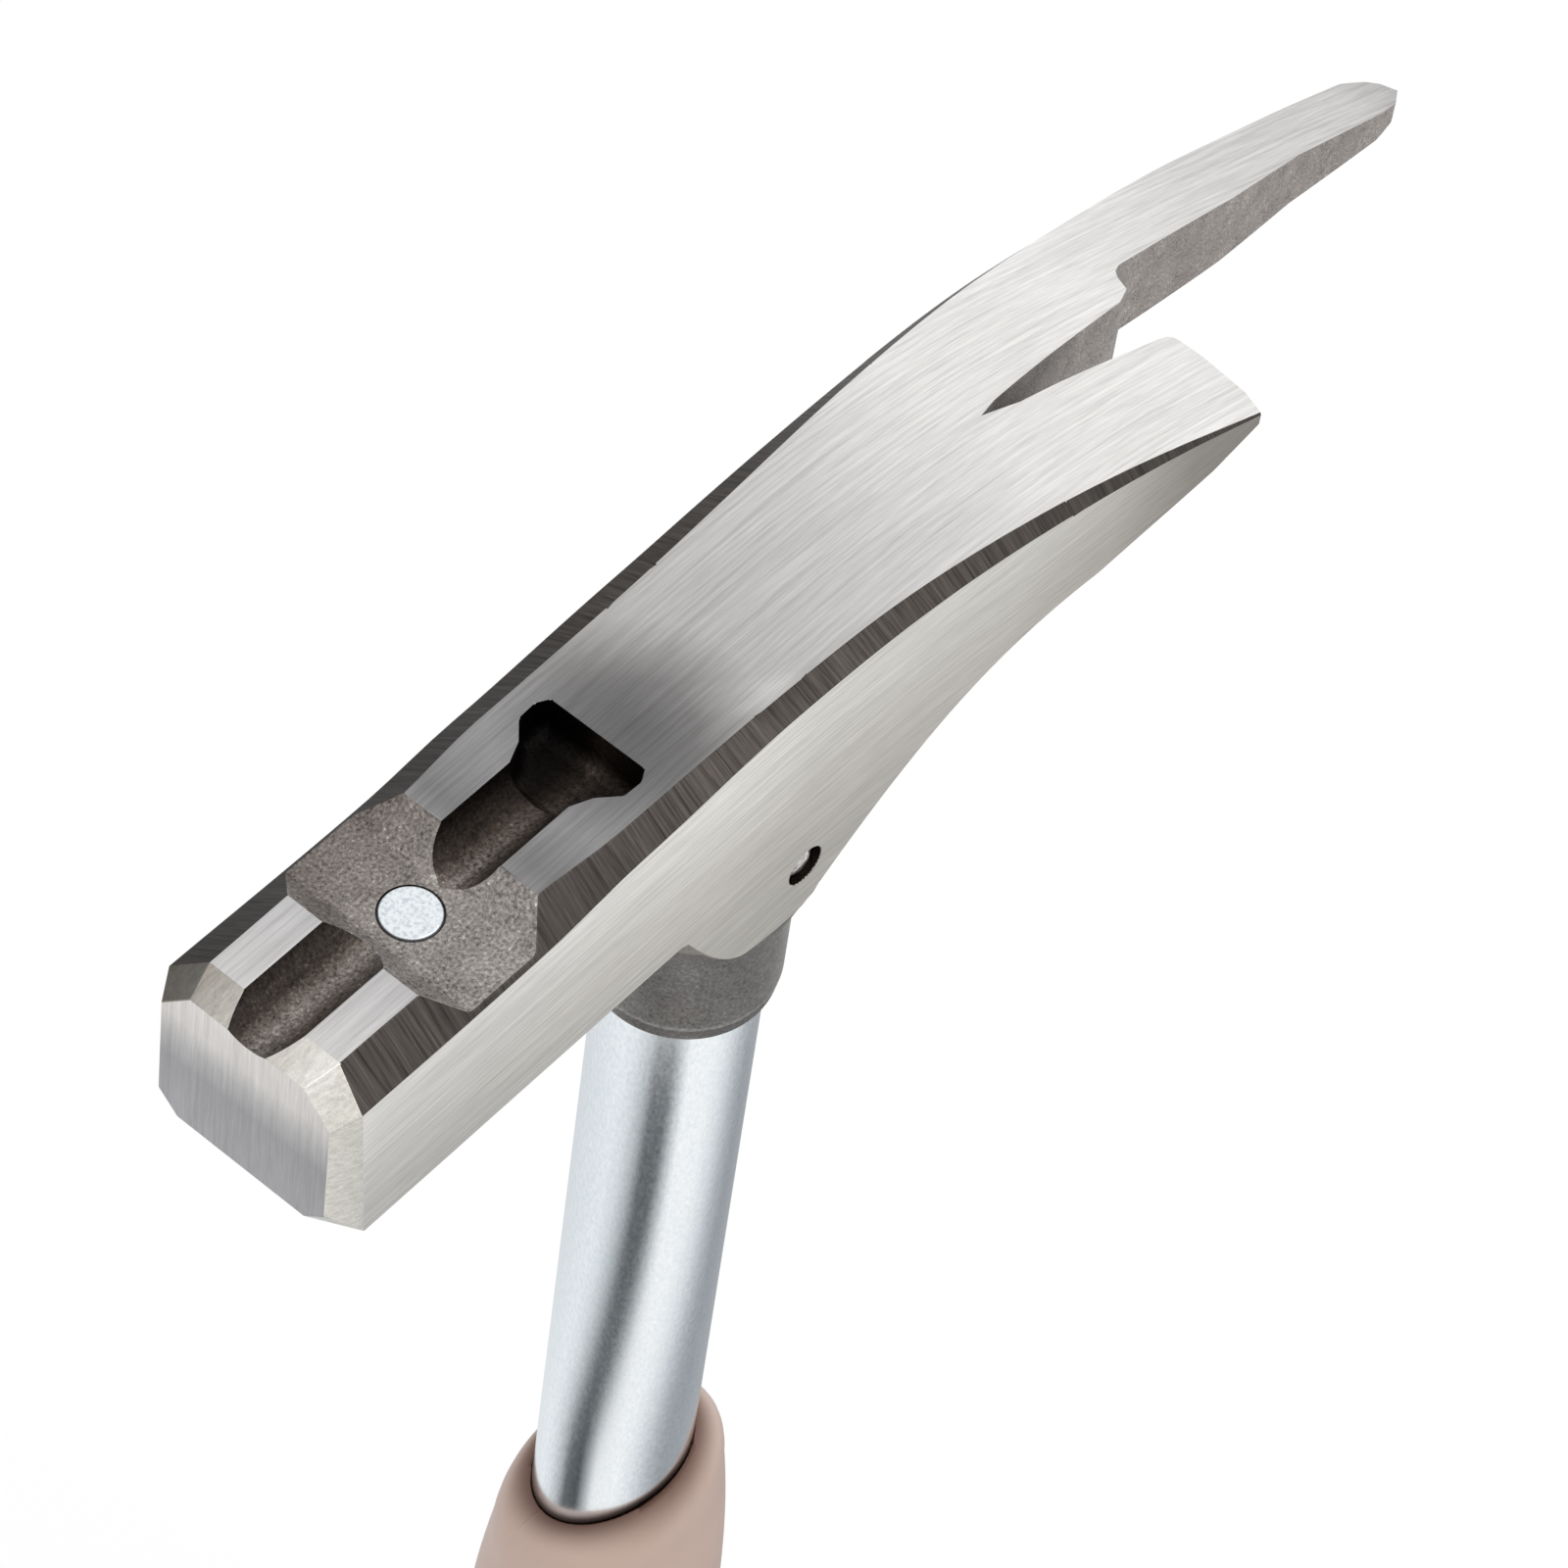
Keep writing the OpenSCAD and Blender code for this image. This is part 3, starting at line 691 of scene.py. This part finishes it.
pin_mesh = turned(pin_profile, lambda c: 0, 64)
lying = Matrix.Translation((PIN_X, 0, PIN_Z)) @ Matrix.Rotation(math.pi / 2, 4, "X")
bmesh.ops.transform(pin_mesh, matrix=lying, verts=pin_mesh.verts)
pin = new_piece("cross_pin_steel", pin_mesh, [bright_steel()])
soften(pin, no_edge, 0.1)
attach(pin, "root")
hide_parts("cross_pin")

# Grip
# One soft plastic moulding over the lower half of the tube, oval to the hand, waisted in the middle and
# rounded over at its slanting mouth. Its two moulds leave a fine line down the front.
MOUTH = HEAD_TOP - 155.8
NOSE = 9.0
NOSE_R = 7.65
BUTT_ROUND = 4.1
grip_depth = [(0, 18.6, 0), (11.5, 19, 0), (54, 16.5, -0.02), (108, 17.1, 0), (139.5, 16.4, -0.07),
              (MOUTH, 12.7, -0.2)]
grip_width = [(0, 14.7, 0), (11.5, 15, 0), (54, 13.2, -0.01), (108, 13.95, 0), (139.5, 13.5, -0.05),
              (MOUTH, 11.1, -0.15)]


def tilted_oval(deep, wide, height, level, sides=120):
    """An oval at one height, tilted the more the nearer its level is to the slanting mouth."""
    t = min(max(level / MOUTH * 3 - 2, 0), 1)
    tilt = t * t * (3 - 2 * t) * TUBE_R
    ring = []
    for angle in (math.tau * j / sides for j in range(sides)):
        rise = tilt * (0.55 * math.cos(angle) - 0.6 * math.sin(angle))
        ring.append(Vector((deep * math.cos(angle), wide * math.sin(angle), height + rise)))
    return ring


def grip_ring(height, inset):
    """The grip's oval at one height."""
    return tilted_oval(curve(grip_depth, height) - inset, curve(grip_width, height) - inset, height, height)


def nose_ring(turn):
    """The mouth rolls over from the oval to the tube."""
    start = MOUTH - NOSE
    deep = NOSE_R + (curve(grip_depth, start) - NOSE_R) * math.cos(turn)
    wide = NOSE_R + (curve(grip_width, start) - NOSE_R) * math.cos(turn)
    return tilted_oval(deep, wide, start + NOSE * math.sin(turn), start)


def moulded_pvc():
    """Moulded PVC: warm taupe, a soft gloss, with a faint satin grain from the mould."""
    made, tree, out = new_material("moulded_pvc")
    place = node(tree, "TexCoord").outputs["Object"]
    cell = node(tree, "Mapping", {"Vector": place, "Scale": per_metre([0.8] * 3)}).outputs["Vector"]
    grain = node(tree, "TexNoise", {"Vector": cell, "Scale": 1.0, "Detail": 2.0}).outputs["Fac"]
    cloud = node(tree, "TexNoise", {"Vector": cell, "Scale": 0.05, "Detail": 2.0}).outputs["Fac"]
    colour = ramp(tree, cloud, [(0.3, "#b1988c"), (0.7, "#b8a094")])
    # Painted shade: the grip darkens where its surface comes within 12.5 mm of the axis, most on the rounded
    # mouth next to the tube and a little round the butt's end
    flat = node(tree, "Mapping", {"Vector": place, "Scale": (1, 1, 0)}).outputs["Vector"]
    radius = node(tree, "VectorMath", {0: flat}, operation="LENGTH").outputs["Value"]
    near = node(tree, "MapRange", {"Value": radius, "From Min": 0.009, "From Max": 0.0125},
                interpolation_type="SMOOTHSTEP").outputs["Result"]
    shade = ramp(tree, near, [(0.0, "#8c7468"), (1.0, "#ffffff")])
    seam_turn = math.radians(162)
    across_seam = (math.sin(seam_turn), -math.cos(seam_turn), 0)
    offset = node(tree, "VectorMath", {0: place, 1: across_seam}, operation="DOT_PRODUCT").outputs["Value"]
    apart = node(tree, "Math", {0: offset}, operation="ABSOLUTE").outputs["Value"]
    seam = node(tree, "MapRange", {"Value": apart, "From Min": 0.0001, "From Max": 0.0003, "To Min": 1.0,
                                   "To Max": 0.0}).outputs["Result"]
    height = node(tree, "Math", {0: grain, 1: 0.2, 2: seam}, operation="MULTIPLY_ADD").outputs["Value"]
    bump = node(tree, "Bump", {"Height": height, "Strength": 0.6, "Distance": 0.00008})
    vinyl = node(tree, "BsdfPrincipled", {"Base Color": darkened(tree, colour, shade), "Roughness": 0.38,
                                          "Normal": bump.outputs["Normal"]})
    tree.links.new(vinyl.outputs["BSDF"], out.inputs["Surface"])
    return made


turns = [math.radians(k) for k in (0, 22, 45, 67)]
rings = [grip_ring(BUTT_ROUND * (1 - math.cos(k)), BUTT_ROUND * (1 - math.sin(k))) for k in turns]
rings += [grip_ring(z, 0) for z in [BUTT_ROUND] + stations(BUTT_ROUND, MOUTH - NOSE, 2.5)]
rings += [nose_ring(math.radians(k)) for k in range(9, 91, 9)]
grip = new_piece("moulded_grip", loft(rings, lambda step, j: 0), [moulded_pvc()])
carve(grip, new_piece("cutter", rod(TUBE_R, (0, 0, TUBE_FOOT), (0, 0, HEAD_TOP), 0, 160), []))
soften(grip, hard_edge, 0.25)
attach(grip, "root")
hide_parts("grip")

# Core and end plug
# A turned beech core keeps the tube round where it is pinned, and a dull black plug closes its lower end.
# Both are hidden inside the tube.


def beech():
    """Beech: pale brown, with fine grain along the tube."""
    made, tree, out = new_material("beech")
    place = node(tree, "TexCoord").outputs["Object"]
    cell = node(tree, "Mapping", {"Vector": place, "Scale": per_metre([0.7, 0.7, 12.0])}).outputs["Vector"]
    fibres = node(tree, "TexNoise", {"Vector": cell, "Scale": 1.0, "Detail": 3.0}).outputs["Fac"]
    colour = ramp(tree, fibres, [(0.3, "#9c7a52"), (0.7, "#c6a67a")])
    wood = node(tree, "BsdfPrincipled", {"Base Color": colour, "Roughness": 0.6})
    tree.links.new(wood.outputs["BSDF"], out.inputs["Surface"])
    return made


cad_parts["socket_core"].data.materials.clear()
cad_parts["socket_core"].data.materials.append(beech())
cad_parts["tube_end_plug"].data.materials.clear()
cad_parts["tube_end_plug"].data.materials.append(cured_epoxy())

# Studio
# A plain pale floor, soft even light, and the camera of the photograph.
# Two cards stand in for a studio's flags: only metal sees them, and they give the tube its bands.


def white_paper():
    """Matt white paper that keeps a soft shadow and is white to the eye and in the steel."""
    made, tree, out = new_material("white_paper")
    path = node(tree, "LightPath").outputs
    seen = node(tree, "Math", {0: path["Is Camera Ray"], 1: path["Is Glossy Ray"]}, operation="MAXIMUM")
    seen = node(tree, "Math", {0: seen.outputs["Value"], 1: path["Is Transmission Ray"]}, operation="MAXIMUM")
    paper = node(tree, "BsdfDiffuse", {"Color": linear("#f4f4f4")}).outputs["BSDF"]
    white = node(tree, "Emission", {"Color": (1, 1, 1, 1), "Strength": 1.0}).outputs["Emission"]
    share = node(tree, "Math", {0: seen.outputs["Value"], 1: 0.75}, operation="MULTIPLY").outputs["Value"]
    mixed = node(tree, "MixShader", {"Fac": share, 1: paper, 2: white})
    tree.links.new(mixed.outputs["Shader"], out.inputs["Surface"])
    return made


bm = bmesh.new()
bmesh.ops.create_grid(bm, x_segments=1, y_segments=1, size=4000, matrix=Matrix.Translation((0, 0, -0.1)))
floor = new_piece("floor", bm, [white_paper()])


def angle_round(tree, vector):
    """The angle of a place round the tube's axis."""
    parts = node(tree, "SeparateXYZ", {"Vector": vector}).outputs
    return node(tree, "Math", {0: parts["Y"], 1: parts["X"]}, operation="ARCTAN2").outputs["Value"]


def glowing_card(name, greys):
    """A card printed in greys that a rule gives, and lit evenly."""
    made, tree, out = new_material(name)
    place = node(tree, "TexCoord").outputs["Object"]
    glow = node(tree, "Emission", {"Color": greys(tree, place), "Strength": 1.0})
    tree.links.new(glow.outputs["Emission"], out.inputs["Surface"])
    return made


def near_greys(tree, place):
    """Greys round the tube's foot that wind inwards: the dark band that slants down the tube's front."""
    faced = node(tree, "VectorRotate", {"Vector": place, "Angle": math.radians(-213.2)},
                 rotation_type="Z_AXIS").outputs["Vector"]
    away = node(tree, "VectorMath", {0: place}, operation="LENGTH").outputs["Value"]
    nearness = node(tree, "MapRange", {"Value": away, "From Min": 0.1825,
                                       "From Max": 0.117}).outputs["Result"]
    bend = node(tree, "Math", {0: nearness, 1: 2.3}, operation="POWER").outputs["Value"]
    wound = node(tree, "Math", {0: bend, 1: math.radians(50), 2: angle_round(tree, faced)},
                 operation="MULTIPLY_ADD").outputs["Value"]
    share = node(tree, "MapRange", {"Value": wound, "From Min": -math.pi, "From Max": math.pi})
    return ramp(tree, share.outputs["Result"], [(0.0, "#d2d6da"), (0.25, "#e8ecee"), (0.33, "#f0f3f5"),
                                                (0.38, "#e4e8ea"), (0.43, "#b8bcbe"), (0.465, "#5c6062"),
                                                (0.52, "#4c5052"), (0.55, "#b0b3b5"), (0.585, "#ffffff"),
                                                (0.67, "#ffffff"), (0.73, "#e4e7e9"), (0.79, "#b6babd"),
                                                (0.85, "#9a9ea2"), (1.0, "#a8acb0")])


def far_greys(tree, place):
    """Two soft grey bands on opposite sides, so that the tube has bands from any side."""
    doubled = node(tree, "Math", {0: angle_round(tree, place), 1: 2.0, 2: math.radians(-172)},
                   operation="MULTIPLY_ADD").outputs["Value"]
    wave = node(tree, "Math", {0: doubled}, operation="COSINE").outputs["Value"]
    return ramp(tree, wave, [(0.2, "#ffffff"), (0.95, "#868b8f")])


def seen_in_metal_only(card):
    """Hides a card from everything but reflections."""
    for ray in ("camera", "diffuse", "shadow", "transmission"):
        setattr(card, "visible_" + ray, False)


bm = bmesh.new()
bmesh.ops.create_circle(bm, cap_ends=True, segments=64, radius=196, matrix=Matrix.Translation((0, 0, 1)))
near_card = new_piece("grey_card", bm, [glowing_card("grey_card", near_greys)])
seen_in_metal_only(near_card)

dish = turned([(350, 1), (1400, 1), (1400, 700)], lambda c: 0)
far_card = new_piece("banded_card", dish, [glowing_card("banded_card", far_greys)])
seen_in_metal_only(far_card)

world = bpy.data.worlds.new("studio")
bpy.context.scene.world = world
world.use_nodes = True
world.node_tree.nodes["Background"].inputs["Color"].default_value = (1, 1, 1, 1)
world.node_tree.nodes["Background"].inputs["Strength"].default_value = 1.0

lamp_data = bpy.data.lights.new("overhead_softbox", "AREA")
lamp_data.shape = "RECTANGLE"
lamp_data.size = 1.2
lamp_data.size_y = 1.0
lamp_data.energy = 5.0
lamp = bpy.data.objects.new("overhead_softbox", lamp_data)
bpy.context.scene.collection.objects.link(lamp)
lamp.location = (0.2, -0.7, 1.3)
lamp.rotation_euler = (Vector((0, 0, 0.25)) - lamp.location).to_track_quat("-Z", "Y").to_euler()

# The view of the photograph, worked out from its perspective: the camera's place in metres, and its aim
camera_place = Vector((-0.34435, -0.23458, 0.83892))
bearing, height, roll = math.radians(-56.794), math.radians(52.546), math.radians(8.904)
back = Vector((math.sin(bearing) * math.cos(height), -math.cos(bearing) * math.cos(height), math.sin(height)))
across = Vector((0, 0, 1)).cross(back).normalized()
upright = back.cross(across)
right = math.cos(roll) * across + math.sin(roll) * upright
up = math.cos(roll) * upright - math.sin(roll) * across
lens_data = bpy.data.cameras.new("photo_view")
lens_data.sensor_fit = "HORIZONTAL"
lens_data.sensor_width = 36.0
lens_data.lens = 155.79
lens_data.clip_end = 50.0
camera = bpy.data.objects.new("photo_view", lens_data)
bpy.context.scene.collection.objects.link(camera)
aim = Matrix((right, up, back)).transposed().to_4x4()
camera.matrix_world = Matrix.Translation(camera_place) @ aim
bpy.context.scene.camera = camera
bpy.context.scene.view_settings.view_transform = "Standard"
